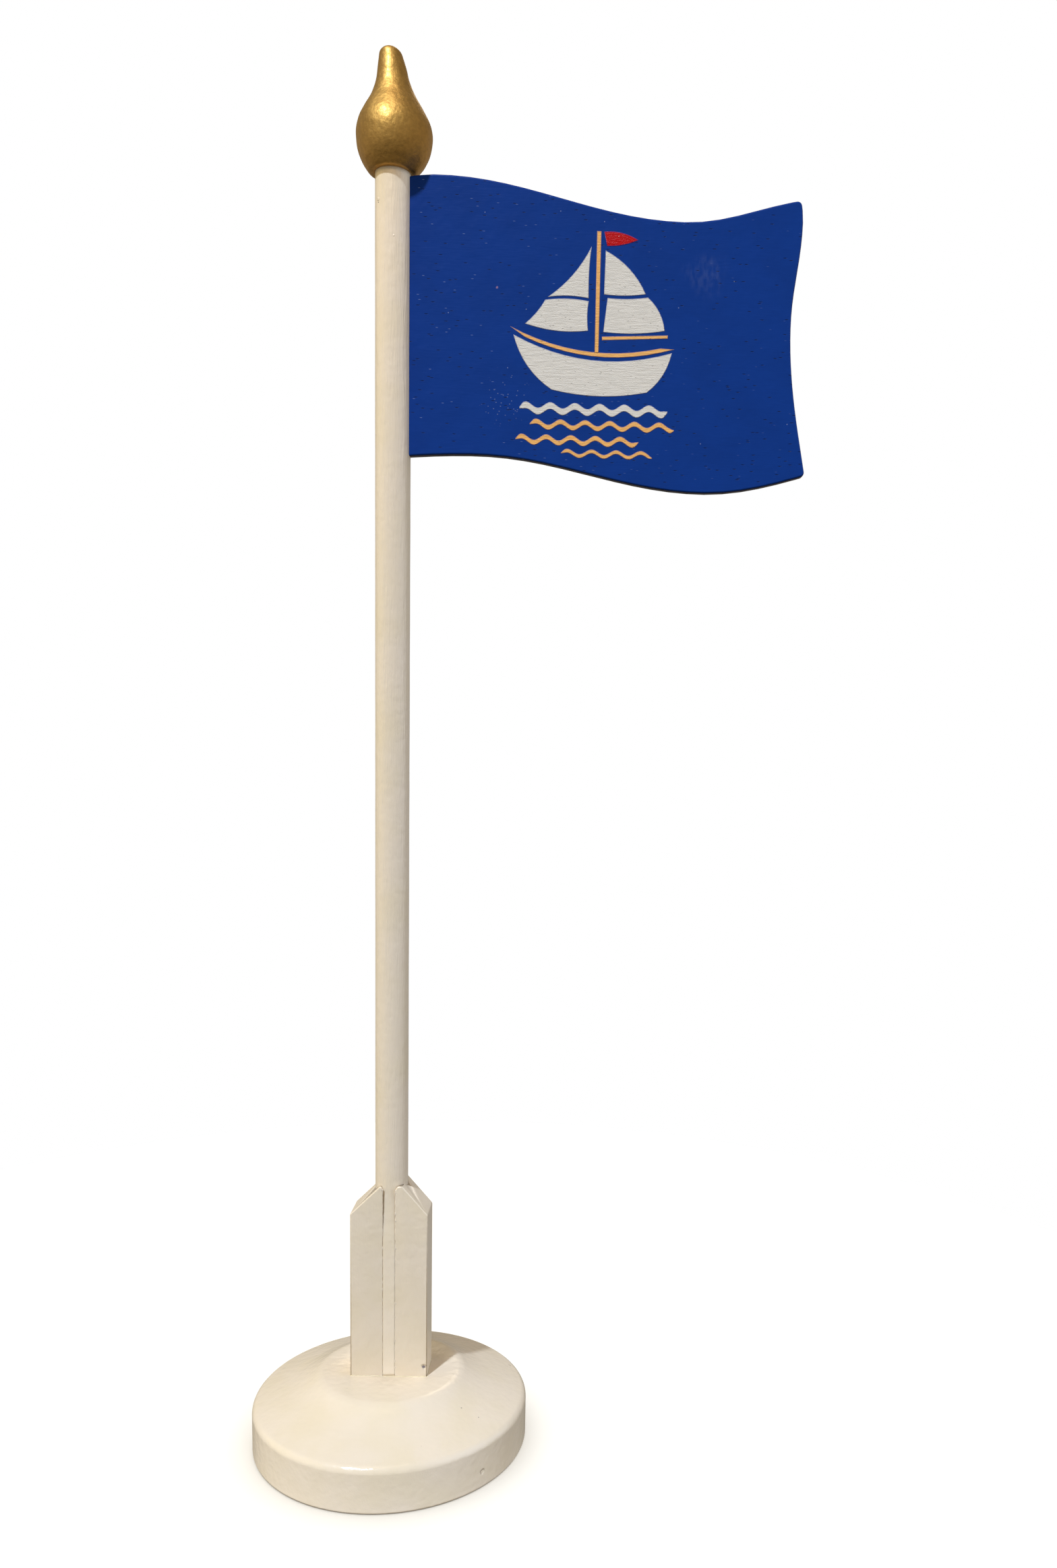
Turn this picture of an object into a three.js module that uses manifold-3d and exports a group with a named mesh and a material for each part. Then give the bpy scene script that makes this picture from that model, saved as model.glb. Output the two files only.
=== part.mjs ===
/*
 * Wooden table flag on a stand: a turned base disc, a round pole held between two cheeks,
 * a flag board let into a groove in the pole, and a turned finial on top.
 *
 * Millimetres, +Z up along the pole. The origin is the centre of the base's underside.
 * The flag flies towards +X and the front of the stand faces -Y.
 */
import * as THREE from 'three';
import * as BufferGeometryUtils from 'three/addons/utils/BufferGeometryUtils.js';
import Module from 'manifold-3d';

const wasm = await Module();
wasm.setup();

// ---- Driving dimensions ----------------------------------------------------------------

// Glue gap left round a piece that sits in a hole, a groove or a cove of another piece.
const GLUE_GAP = 0.3;

// Base disc: a plain wall, a shallow cone, a short steeper shoulder and a flat seat on top.
const BASE_RADIUS = 42.5;
const BASE_HEIGHT = 22.3;
const WALL_HEIGHT = 13.8;
const SHOULDER_RADIUS = 25.8;
const SHOULDER_DROP = 2.8;
const SEAT_RADIUS = 22;
const BOTTOM_EDGE_ROUND = 0.9;
const RIM_ROUND = 1.9;
const SEAT_EDGE_ROUND = 1.6;

// Pole: a round dowel, from a blind hole in the base to a blind bore in the finial.
const POLE_RADIUS = 5;
const POLE_TENON = 12;
const SEAT_TO_FINIAL = 351.5;
const POLE_IN_FINIAL = 10;

// Cheeks: two boards that stand on the base and grip the foot of the pole.
const CHEEK_OUTER_X = 11.9;
const CHEEK_INNER_X = 2;
const CHEEK_DEPTH = 11.4;
const CHEEK_HEIGHT = 61.4;
const CHEEK_CHAMFER_DROP = 8.9;
const CHEEK_TOP_FLAT_LEFT = 0.8;
const CHEEK_TOP_FLAT_RIGHT = 2.2;

// Flag board: a flat board with a waved outline, its hoist edge let into the pole.
const FLAG_THICKNESS = 3;
const FLAG_TONGUE = 3.6;
const FLAG_CREST_ABOVE_FINIAL_SEAT = 0.1;
const FLAG_CORNER_ROUND = 1.3;
// Turning points of the waved edges: distance from the pole's axis, and drop below the
// crest of the top edge. The edge eases from one turning point to the next.
const FLAG_TOP_TURNS = [[-30, 8], [13, 0], [81, 10.1], [122, 2.7]];
const FLAG_BOTTOM_TURNS = [[-30, 77.4], [24, 74.1], [88, 82.8], [150, 70.8]];
// The same for the fly edge, as drop below the crest and distance from the pole's axis.
const FLAG_FLY_TURNS = [[-6.5, 112.2], [9.5, 114.3], [36, 112.1], [109, 121.8]];

// Finial: a turned pear shape, given as height above its seat and radius.
const FINIAL_HEIGHT = 32.5;
const FINIAL_PROFILE = [
  [1.35, 7.4],
  [3.2, 8.75],
  [5.9, 9.95],
  [9.6, 10.5],
  [12.8, 9.95],
  [16, 8.35],
  [19.8, 6.15],
  [23.6, 4.65],
  [27, 3.95],
  [29.4, 3.35],
];
// The neck springs a little to one side: the height where it starts, and how strongly.
const FINIAL_BEND_START = 12.3;
const FINIAL_BEND = 0.0032;
const FINIAL_OFFSET = 0.33;

// How far a cutting tool runs past the face it cuts, and how near two corners are welded.
const OVERCUT = 1;
const WELD = 1e-4;

// Facets round a full turn and along curves.
const ROUND_FACETS = 40;
const BASE_FACETS = 64;
const ARC_STEPS = 4;
const EDGE_STEPS = 22;
const PROFILE_STEPS = 20;
const CORNER_PASSES = 12;

// ---- Derived places --------------------------------------------------------------------

const CHEEK_TOP = BASE_HEIGHT + CHEEK_HEIGHT;
const FINIAL_SEAT = BASE_HEIGHT + SEAT_TO_FINIAL;
const POLE_BOTTOM = BASE_HEIGHT - POLE_TENON;
const POLE_TOP = FINIAL_SEAT + POLE_IN_FINIAL;
const FLAG_CREST = FINIAL_SEAT + FLAG_CREST_ABOVE_FINIAL_SEAT;
const FLAG_HOIST_X = POLE_RADIUS - FLAG_TONGUE;

// ---- Colours and finishes --------------------------------------------------------------

const whitePaint = () => new THREE.MeshStandardMaterial({ color: 0xe9dcc6, roughness: 0.35, metalness: 0 });
const bluePaint = () => new THREE.MeshStandardMaterial({ color: 0x17357c, roughness: 0.4, metalness: 0 });
const goldPaint = () => new THREE.MeshStandardMaterial({ color: 0xb88a3a, roughness: 0.4, metalness: 0.6 });

// ---- Helpers ---------------------------------------------------------------------------

function toSolid(geometry) {
  const bare = geometry.clone();
  bare.deleteAttribute('normal');
  bare.deleteAttribute('uv');
  const welded = BufferGeometryUtils.mergeVertices(bare, WELD);
  return new wasm.Manifold(new wasm.Mesh({
    numProp: 3,
    vertProperties: new Float32Array(welded.attributes.position.array),
    triVerts: new Uint32Array(welded.index.array),
  }));
}

function toGeometry(solid) {
  const mesh = solid.getMesh();
  const geometry = new THREE.BufferGeometry();
  geometry.setAttribute('position', new THREE.BufferAttribute(new Float32Array(mesh.vertProperties), 3));
  geometry.setIndex(new THREE.BufferAttribute(new Uint32Array(mesh.triVerts), 1));
  geometry.computeVertexNormals();
  return geometry;
}

function piece(name, solid, material) {
  const mesh = new THREE.Mesh(toGeometry(solid), material);
  mesh.name = name;
  return mesh;
}

// A solid of revolution about +Z from [radius, height] points that start and end on the axis.
function turned(points, facets) {
  const geometry = new THREE.LatheGeometry(points.map(([r, z]) => new THREE.Vector2(r, z)), facets);
  return geometry.rotateX(Math.PI / 2);
}

// An upright rod along +Z between two heights.
function rod(radius, low, high) {
  return toSolid(turned([[0, low], [radius, low], [radius, high], [0, high]], ROUND_FACETS));
}

// A rectangular block between two corners.
function block(low, high) {
  const size = high.map((value, axis) => value - low[axis]);
  const geometry = new THREE.BoxGeometry(...size);
  return toSolid(geometry.translate(...low.map((value, axis) => value + size[axis] / 2)));
}

// Points of a rounded corner: an arc tangent to both sides of the corner at `corner`.
function roundedCorner(before, corner, after, radius) {
  const apex = new THREE.Vector2(...corner);
  const toBefore = new THREE.Vector2(...before).sub(apex).normalize();
  const toAfter = new THREE.Vector2(...after).sub(apex).normalize();
  const half = Math.acos(THREE.MathUtils.clamp(toBefore.dot(toAfter), -1, 1)) / 2;
  const toCentre = toBefore.clone().add(toAfter).setLength(radius / Math.sin(half));
  const start = toBefore.setLength(radius / Math.tan(half)).sub(toCentre);
  const end = toAfter.setLength(radius / Math.tan(half)).sub(toCentre);
  const centre = toCentre.add(apex);
  const sweep = Math.atan2(start.cross(end), start.dot(end));
  const points = [];
  for (let step = 0; step <= ARC_STEPS; step += 1) {
    const arm = start.clone().rotateAround(new THREE.Vector2(), (sweep * step) / ARC_STEPS);
    points.push([centre.x + arm.x, centre.y + arm.y]);
  }
  return points;
}

// A smooth wave through turning points [position, level]: half a cosine between two turns.
function wave(turns, position) {
  const next = Math.max(1, turns.findIndex(([turn]) => turn > position));
  const [fromPosition, fromLevel] = turns[next - 1];
  const [toPosition, toLevel] = turns[next];
  const share = (1 - Math.cos((Math.PI * (position - fromPosition)) / (toPosition - fromPosition))) / 2;
  return fromLevel + (toLevel - fromLevel) * share;
}

// ---- Base disc -------------------------------------------------------------------------

function baseDisc() {
  const footEdge = [BASE_RADIUS, 0];
  const rim = [BASE_RADIUS, WALL_HEIGHT];
  const shoulder = [SHOULDER_RADIUS, BASE_HEIGHT - SHOULDER_DROP];
  const seatEdge = [SEAT_RADIUS, BASE_HEIGHT];
  const profile = [
    [0, 0],
    ...roundedCorner([0, 0], footEdge, rim, BOTTOM_EDGE_ROUND),
    ...roundedCorner(footEdge, rim, shoulder, RIM_ROUND),
    shoulder,
    ...roundedCorner(shoulder, seatEdge, [0, BASE_HEIGHT], SEAT_EDGE_ROUND),
    [0, BASE_HEIGHT],
  ];
  const hole = rod(POLE_RADIUS + GLUE_GAP, POLE_BOTTOM - GLUE_GAP, BASE_HEIGHT + OVERCUT);
  return toSolid(turned(profile, BASE_FACETS)).subtract(hole);
}

// ---- Pole ------------------------------------------------------------------------------

// The groove for the flag board runs from the flag's lower corner out through the top end.
function pole() {
  const halfGroove = FLAG_THICKNESS / 2 + GLUE_GAP;
  const grooveBottom = flagBottom(FLAG_HOIST_X) - GLUE_GAP;
  const groove = block(
    [FLAG_HOIST_X - GLUE_GAP, -halfGroove, grooveBottom],
    [POLE_RADIUS + OVERCUT, halfGroove, POLE_TOP + OVERCUT],
  );
  return rod(POLE_RADIUS, POLE_BOTTOM, POLE_TOP).subtract(groove);
}

// ---- Cheeks ----------------------------------------------------------------------------

// side is -1 for the left cheek and +1 for the right one.
function cheek(side, topFlat) {
  const outline = new THREE.Shape([
    [CHEEK_INNER_X, BASE_HEIGHT],
    [CHEEK_OUTER_X, BASE_HEIGHT],
    [CHEEK_OUTER_X, CHEEK_TOP - CHEEK_CHAMFER_DROP],
    [CHEEK_INNER_X + topFlat, CHEEK_TOP],
    [CHEEK_INNER_X, CHEEK_TOP],
  ].map(([x, z]) => new THREE.Vector2(side * x, z)));
  const board = new THREE.ExtrudeGeometry(outline, { depth: CHEEK_DEPTH, bevelEnabled: false });
  board.rotateX(Math.PI / 2).translate(0, CHEEK_DEPTH / 2, 0);
  const cove = rod(POLE_RADIUS + GLUE_GAP, BASE_HEIGHT - OVERCUT, CHEEK_TOP + OVERCUT);
  return toSolid(board).subtract(cove);
}

// ---- Flag board ------------------------------------------------------------------------

function flagTop(x) {
  return FLAG_CREST - wave(FLAG_TOP_TURNS, x);
}

function flagBottom(x) {
  return FLAG_CREST - wave(FLAG_BOTTOM_TURNS, x);
}

function flagFly(z) {
  return wave(FLAG_FLY_TURNS, FLAG_CREST - z);
}

// Where the fly edge meets the top or the bottom edge.
function flyCorner(edge) {
  let corner = [FLAG_FLY_TURNS[1][1], edge(FLAG_FLY_TURNS[1][1])];
  for (let pass = 0; pass < CORNER_PASSES; pass += 1) {
    const x = flagFly(corner[1]);
    corner = [x, edge(x)];
  }
  return corner;
}

function flagBoard() {
  const topCorner = flyCorner(flagTop);
  const bottomCorner = flyCorner(flagBottom);
  const outline = [];
  // The waved edges stop this far short of a corner, and its arc fills in the rest.
  const reach = FLAG_CORNER_ROUND * 2;
  for (let step = 0; step <= EDGE_STEPS; step += 1) {
    const x = THREE.MathUtils.lerp(FLAG_HOIST_X, topCorner[0] - reach, step / EDGE_STEPS);
    outline.push([x, flagTop(x)]);
  }
  const flyHigh = topCorner[1] - reach;
  const flyLow = bottomCorner[1] + reach;
  outline.push(...roundedCorner(outline.at(-1), topCorner, [flagFly(flyHigh), flyHigh], FLAG_CORNER_ROUND));
  for (let step = 0; step <= EDGE_STEPS; step += 1) {
    const z = THREE.MathUtils.lerp(flyHigh, flyLow, step / EDGE_STEPS);
    outline.push([flagFly(z), z]);
  }
  const lowEdgeEnd = [bottomCorner[0] - reach, flagBottom(bottomCorner[0] - reach)];
  outline.push(...roundedCorner(outline.at(-1), bottomCorner, lowEdgeEnd, FLAG_CORNER_ROUND));
  for (let step = 0; step <= EDGE_STEPS; step += 1) {
    const x = THREE.MathUtils.lerp(bottomCorner[0] - reach, FLAG_HOIST_X, step / EDGE_STEPS);
    outline.push([x, flagBottom(x)]);
  }
  const shape = new THREE.Shape(outline.map(([x, z]) => new THREE.Vector2(x, z)));
  const board = new THREE.ExtrudeGeometry(shape, { depth: FLAG_THICKNESS, bevelEnabled: false });
  return toSolid(board.rotateX(Math.PI / 2).translate(0, FLAG_THICKNESS / 2, 0));
}

// ---- Finial ----------------------------------------------------------------------------

function finial() {
  const curve = new THREE.SplineCurve(FINIAL_PROFILE.map(([z, r]) => new THREE.Vector2(r, z)));
  const side = curve.getPoints(PROFILE_STEPS).map((point) => [point.x, point.y]);
  const [tipRadius, tipStart] = side.at(-1);
  const tip = [];
  for (let step = 1; step <= ARC_STEPS; step += 1) {
    const angle = (Math.PI / 2) * (step / ARC_STEPS);
    const rise = (FINIAL_HEIGHT - tipStart) * Math.sin(angle);
    tip.push([step === ARC_STEPS ? 0 : tipRadius * Math.cos(angle), tipStart + rise]);
  }
  const body = turned([[0, 0], [POLE_RADIUS, 0], ...side, ...tip], ROUND_FACETS);
  const position = body.attributes.position;
  for (let index = 0; index < position.count; index += 1) {
    const z = position.getZ(index);
    const shift = FINIAL_OFFSET - FINIAL_BEND * (z - FINIAL_BEND_START) ** 2;
    position.setX(index, position.getX(index) + shift);
  }
  body.translate(0, 0, FINIAL_SEAT);
  const bore = rod(POLE_RADIUS + GLUE_GAP, FINIAL_SEAT - OVERCUT, POLE_TOP + GLUE_GAP);
  return toSolid(body).subtract(bore);
}

// ---- Assembly --------------------------------------------------------------------------

const stand = new THREE.Group();
stand.add(piece('base_disc', baseDisc(), whitePaint()));
stand.add(piece('pole', pole(), whitePaint()));
stand.add(piece('cheek_left', cheek(-1, CHEEK_TOP_FLAT_LEFT), whitePaint()));
stand.add(piece('cheek_right', cheek(1, CHEEK_TOP_FLAT_RIGHT), whitePaint()));
stand.add(piece('flag_board', flagBoard(), bluePaint()));
stand.add(piece('finial', finial(), goldPaint()));

export default stand;
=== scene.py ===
"""Wooden table flag on a stand: its painted finish, built round the fixed frame of the part.

Lengths are metres, and MM turns millimetres into metres. +Z runs up the pole, the flag
flies towards +X and the front of the stand faces -Y.
"""

import math

import bmesh
import bpy
from bpy.props import FloatProperty, FloatVectorProperty, PointerProperty
from mathutils import Matrix, Vector, noise


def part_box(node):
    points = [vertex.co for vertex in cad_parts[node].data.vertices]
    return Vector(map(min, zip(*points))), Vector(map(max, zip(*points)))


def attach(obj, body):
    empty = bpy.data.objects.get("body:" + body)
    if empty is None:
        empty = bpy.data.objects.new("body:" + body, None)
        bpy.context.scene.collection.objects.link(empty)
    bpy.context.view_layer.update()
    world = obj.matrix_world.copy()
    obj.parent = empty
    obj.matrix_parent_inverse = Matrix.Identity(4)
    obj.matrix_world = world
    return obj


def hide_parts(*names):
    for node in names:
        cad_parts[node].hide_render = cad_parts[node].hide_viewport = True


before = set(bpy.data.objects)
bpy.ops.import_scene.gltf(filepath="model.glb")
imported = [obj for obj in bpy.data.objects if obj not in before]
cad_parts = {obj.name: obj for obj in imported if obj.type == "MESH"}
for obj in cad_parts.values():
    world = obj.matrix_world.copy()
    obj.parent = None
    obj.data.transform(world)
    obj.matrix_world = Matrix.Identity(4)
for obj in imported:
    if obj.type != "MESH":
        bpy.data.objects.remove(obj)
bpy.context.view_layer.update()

bl_info = {
    "name": "Table flag finish",
    "version": (1, 0, 0),
    "blender": (4, 5, 0),
    "location": "3D View > Sidebar > Table flag",
    "description": "Builds the painted pieces, the print and the studio of a wooden table flag",
    "category": "Object",
}

MM = 0.001
BODY = "root"
# Vertices nearer to each other than this are joined.
WELD = 0.0005 * MM
# The clearance round the pole inside the base and the finial.
HIDDEN_GAP = 0.05 * MM

# ---- The frame's places ----------------------------------------------------------------

BASE_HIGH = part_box("base_disc")[1]
POLE_LOW, POLE_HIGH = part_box("pole")
CHEEK_LOW, CHEEK_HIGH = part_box("cheek_right")
CHEEK_LEFT_LOW, CHEEK_LEFT_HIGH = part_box("cheek_left")
FLAG_LOW, FLAG_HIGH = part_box("flag_board")
FINIAL_LOW, FINIAL_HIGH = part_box("finial")

SEAT = BASE_HIGH.z
BASE_RADIUS = BASE_HIGH.y
POLE_RADIUS = POLE_HIGH.y
FLAG_FACE = FLAG_HIGH.y


# ---- Helpers: colour -------------------------------------------------------------------


def srgb(code):
    """Turns a hex colour such as "#16347D" into linear red, green and blue."""
    channels = [int(code[at:at + 2], 16) / 255 for at in (1, 3, 5)]
    return tuple(c / 12.92 if c <= 0.04045 else ((c + 0.055) / 1.055) ** 2.4 for c in channels)


def opaque(colour):
    """Adds a full alpha to a colour, as a shader's colour socket wants it."""
    return (*colour[:3], 1.0)


def per(size_mm):
    """The scale that gives a texture one cell for each size_mm millimetres."""
    return 1 / (size_mm * MM)


# ---- Settings --------------------------------------------------------------------------


def length(name, description, default_mm):
    """A length property whose default is given in millimetres."""
    return FloatProperty(
        name=name, description=description, default=default_mm * MM, min=0, unit="LENGTH", precision=5
    )


def colour(name, description, code):
    """A colour property whose default is given as a hex colour."""
    return FloatVectorProperty(
        name=name, description=description, default=srgb(code), min=0, max=1, size=3, subtype="COLOR"
    )


class BaseSettings(bpy.types.PropertyGroup):
    """Shape of the turned base disc."""

    wall_height: length("Wall height", "Height of the plain wall under the cone", 13.8)
    shoulder_radius: length("Shoulder radius", "Where the cone meets the steeper shoulder", 27)
    shoulder_drop: length("Shoulder drop", "How far the shoulder lies below the seat", 3.2)
    seat_radius: length("Seat radius", "Radius of the flat seat under the cheeks", 22)
    rim_run: length("Rim rounding", "How far the rounding runs down the wall and up the cone", 1.7)
    foot_run: length("Foot rounding", "Rounding of the edge that the stand rests on", 0.9)
    shoulder_run: length("Shoulder softness", "How far paint softens the inner corner of the shoulder", 4.2)
    seat_run: length("Seat edge softness", "How far the seat's edge is rounded", 1.4)


class PoleSettings(bpy.types.PropertyGroup):
    """Surface of the pole."""

    ring_spacing: length("Ring spacing", "Distance between the rings of the pole's mesh", 1.5)
    waviness: length("Waviness", "How far the brushed paint swells and thins", 0.05)
    bead: length("Paint bead", "Radius of the paint bead where two pieces meet", 0.2)
    strip_gap: length("Strip gap", "Groove left of the filler strip, twice the one on its right", 0.22)


class CheekSettings(bpy.types.PropertyGroup):
    """Shape of the two cheeks that grip the foot of the pole."""

    chamfer_drop: length("Chamfer drop", "Height of the cut on the outer top corner", 8.9)
    top_flat_left: length("Left top flat", "Width of the flat left at the top of the left cheek", 0.8)
    top_flat_right: length("Right top flat", "Width of the flat left at the top of the right cheek", 2.2)
    edge_round: length("Edge rounding", "How far paint rounds the sawn edges", 0.4)
    corner_round: length("Corner rounding", "Rounding of the top corner next to the pole", 1.1)


class FlagSettings(bpy.types.PropertyGroup):
    """Shape of the flag board and of the print on it."""

    edge_round: length("Edge rounding", "How far sanding and paint round the board's edges", 0.55)
    film: length("Ink film", "How far the printed ink stands proud of the paint", 0.04)
    thin_edge: length("Thin ink edge", "Width of the edge where the ink film thins out", 0.16)


class FinialSettings(bpy.types.PropertyGroup):
    """Shape of the turned finial."""

    bend_start: length("Bend start", "Height above the seat where the neck starts to lean", 12.3)
    bend: FloatProperty(name="Bend", description="How strongly the neck leans, per metre", default=3.2)
    offset: length("Offset", "How far the belly stands off the pole's axis", 0.33)
    dents: length("Dents", "How far the turned wood is out of true", 0.1)


class PaintSettings(bpy.types.PropertyGroup):
    """Colours of paints and inks."""

    white: colour("Off-white enamel", "Gloss enamel on the base, the cheeks and the pole", "#E9DCC9")
    yellowed: colour("Thick enamel", "Enamel where it pools and yellows", "#E0D2B0")
    # This dark colour stands for exposed wood in a chip and for painted shade inside pinholes and pits.
    bare_and_shade: colour("Chipped spot", "What shows where the enamel is chipped or pinholed", "#6E6670")
    blue: colour("Blue enamel", "Satin enamel on the flag board", "#0A388A")
    # Dark colour of the sawn edges: thin enamel, darkened further as painted shade.
    thin_and_shaded_blue: colour("Flag edge", "Blue enamel where it is thin on the sawn edge", "#241634")
    gold: colour("Gold bronze", "Bronze paint on the finial", "#D9AB5C")
    ink_white: colour("White ink", "Screen-printed white", "#E7E1D8")
    ink_ochre: colour("Ochre ink", "Screen-printed ochre", "#FABB6C")
    ink_red: colour("Red ink", "Screen-printed red", "#C2040A")


class StageSettings(bpy.types.PropertyGroup):
    """Floor, lights and camera."""

    floor_radius: length("Floor radius", "Radius of the pale floor", 330)
    bounce_width: length("Bounce width", "How far the light that the table throws back reaches", 25)
    bounce_strength: FloatProperty(name="Bounce", description="Brightness of that light", default=0.33)
    key_strength: FloatProperty(name="Key", description="Strength of the main light", default=2.88)
    over_strength: FloatProperty(name="Over", description="Strength of the light overhead", default=0.24)
    back_strength: FloatProperty(name="Back", description="Strength of the light behind", default=0.25)
    left_strength: FloatProperty(name="Left", description="Strength of the left light", default=0.73)
    right_strength: FloatProperty(name="Right", description="Strength of the right light", default=1.02)
    lamp_power: FloatProperty(name="Lamp", description="Watts of the lamp near the pole", default=0.29)
    floor_strength: FloatProperty(name="Floor light", description="Strength of its light", default=3.3)
    room_strength: FloatProperty(name="Room", description="Brightness all round", default=0.424)
    room_top: colour("Room above", "Light from above, at full room strength", "#9A9280")
    room_middle: colour("Room around", "Light from the sides, at full room strength", "#FFF3DF")
    room_low: colour("Room below", "Light from below, at full room strength", "#403C36")


def settings():
    """The scene's property groups, by short names."""
    return bpy.context.scene.table_flag


class TableFlagSettings(bpy.types.PropertyGroup):
    """Everything that a user may change."""

    base: PointerProperty(type=BaseSettings)
    pole: PointerProperty(type=PoleSettings)
    cheek: PointerProperty(type=CheekSettings)
    flag: PointerProperty(type=FlagSettings)
    finial: PointerProperty(type=FinialSettings)
    paint: PointerProperty(type=PaintSettings)
    stage: PointerProperty(type=StageSettings)


# ---- Helpers: mesh ---------------------------------------------------------------------


def new_object(bm, name, materials):
    """Makes a smooth-shaded object at the origin from a bmesh, and frees the bmesh."""
    for face in bm.faces:
        face.smooth = True
    mesh = bpy.data.meshes.new(name)
    bm.to_mesh(mesh)
    bm.free()
    piece = bpy.data.objects.new(name, mesh)
    bpy.context.scene.collection.objects.link(piece)
    for material in materials:
        mesh.materials.append(material)
    return piece


def keep_flats(piece):
    """Lets the large flat faces set the shading normals next to a rounded edge."""
    modifier = piece.modifiers.new("flat_faces", "WEIGHTED_NORMAL")
    modifier.weight = 100
    modifier.keep_sharp = False


def close(bm):
    """Joins doubled vertices and turns all faces outwards."""
    bmesh.ops.remove_doubles(bm, verts=bm.verts, dist=WELD)
    bmesh.ops.recalc_face_normals(bm, faces=bm.faces)


def round_vertex(bm, vertex, run):
    """Rounds a corner of an outline."""
    bmesh.ops.bevel(
        bm, geom=[vertex], offset=run, offset_type="OFFSET", segments=8,
        profile=0.5, affect="VERTICES", material=-1,
    )


def round_edges(bm, edges, run):
    """Rounds edges of a solid."""
    bmesh.ops.bevel(
        bm, geom=edges, offset=run, offset_type="OFFSET", segments=4,
        profile=0.5, affect="EDGES", clamp_overlap=True, material=-1,
    )


def turned(points, steps, roundings=()):
    """A bmesh turned about +Z from (radius, height) points; roundings are (index, run)."""
    bm = bmesh.new()
    outline = [bm.verts.new((radius, 0, height)) for radius, height in points]
    for start, end in zip(outline, outline[1:]):
        bm.edges.new((start, end))
    for index, run in roundings:
        round_vertex(bm, outline[index], run)
    bmesh.ops.spin(
        bm, geom=bm.verts[:] + bm.edges[:], cent=(0, 0, 0), axis=(0, 0, 1),
        angle=2 * math.pi, steps=steps, use_merge=True,
    )
    close(bm)
    return bm


def tube(name, points, radii, material, closed=False):
    """A bead of paint along points, with a radius at each point."""
    curve = bpy.data.curves.new(name, "CURVE")
    curve.dimensions = "3D"
    curve.bevel_depth = 1
    curve.bevel_resolution = 2
    curve.use_fill_caps = not closed
    spline = curve.splines.new("POLY")
    spline.points.add(len(points) - 1)
    for target, point, radius in zip(spline.points, points, radii):
        target.co = (*point, 1)
        target.radius = radius
    spline.use_cyclic_u = closed
    guide = bpy.data.objects.new(name + "_guide", curve)
    bpy.context.scene.collection.objects.link(guide)
    evaluated = guide.evaluated_get(bpy.context.evaluated_depsgraph_get())
    bm = bmesh.new()
    bm.from_mesh(evaluated.to_mesh())
    evaluated.to_mesh_clear()
    bpy.data.objects.remove(guide)
    bpy.data.curves.remove(curve)
    close(bm)
    return new_object(bm, name, [material])


def stand_for(piece, slot, *nodes):
    """Rides a finished piece on the stand and lets it stand for CAD nodes."""
    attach(piece, BODY)
    if nodes:
        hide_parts(*nodes)


# ---- Helpers: materials ----------------------------------------------------------------

# The scale that stretches the flag board's grain along +X.
BOARD_GRAIN = (0.12, 1, 1)


def add_node(tree, kind, inputs=None, **values):
    """Adds a node with its settings, and sets or links each of its named inputs."""
    node = tree.nodes.new(kind)
    for name, value in values.items():
        setattr(node, name, value)
    for name, value in (inputs or {}).items():
        if isinstance(value, bpy.types.NodeSocket):
            tree.links.new(value, node.inputs[name])
        else:
            node.inputs[name].default_value = value
    return node


def new_material(name):
    """An empty node material and its node tree."""
    material = bpy.data.materials.new(name)
    material.use_nodes = True
    material.node_tree.nodes.clear()
    return material, material.node_tree


def finish_material(tree, tone, roughness, **inputs):
    """Adds the surface shader and the output."""
    names = {name.replace("_", " ").title().replace("Ior", "IOR"): value for name, value in inputs.items()}
    names.update({"Base Color": tone, "Roughness": roughness})
    shader = add_node(tree, "ShaderNodeBsdfPrincipled", names)
    add_node(tree, "ShaderNodeOutputMaterial", {"Surface": shader.outputs["BSDF"]})


def relief(tree, steps):
    """Bumps laid over each other, from (height from 0 to 1, depth in millimetres) steps."""
    normal = add_node(tree, "ShaderNodeNewGeometry").outputs["Normal"]
    for height, depth_mm in steps:
        raised = {"Height": height, "Distance": abs(depth_mm) * MM, "Normal": normal}
        normal = add_node(tree, "ShaderNodeBump", raised, invert=depth_mm < 0).outputs["Normal"]
    return normal


def overlay(tree, tone, layers):
    """Colours laid over a tone, from (colour, share from 0 to 1) layers."""
    tone = opaque(tone)
    for over, share in layers:
        # Of the Mix node's sockets, 6, 7 and output 2 are the ones that hold colours.
        mix = add_node(tree, "ShaderNodeMix", {0: share, 6: tone, 7: opaque(over)}, data_type="RGBA")
        tone = mix.outputs[2]
    return tone


def patches(tree, where, cell_mm, low, high, most=1.0, detail=2.0):
    """Soft patches of noise, from nothing where it is under low to `most` where it is over high."""
    noise_value = add_node(
        tree, "ShaderNodeTexNoise", {"Vector": where, "Scale": per(cell_mm), "Detail": detail}
    ).outputs["Fac"]
    return add_node(
        tree, "ShaderNodeMapRange",
        {"Value": noise_value, "From Min": low, "From Max": high, "To Max": most},
        interpolation_type="SMOOTHSTEP",
    ).outputs["Result"]


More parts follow.
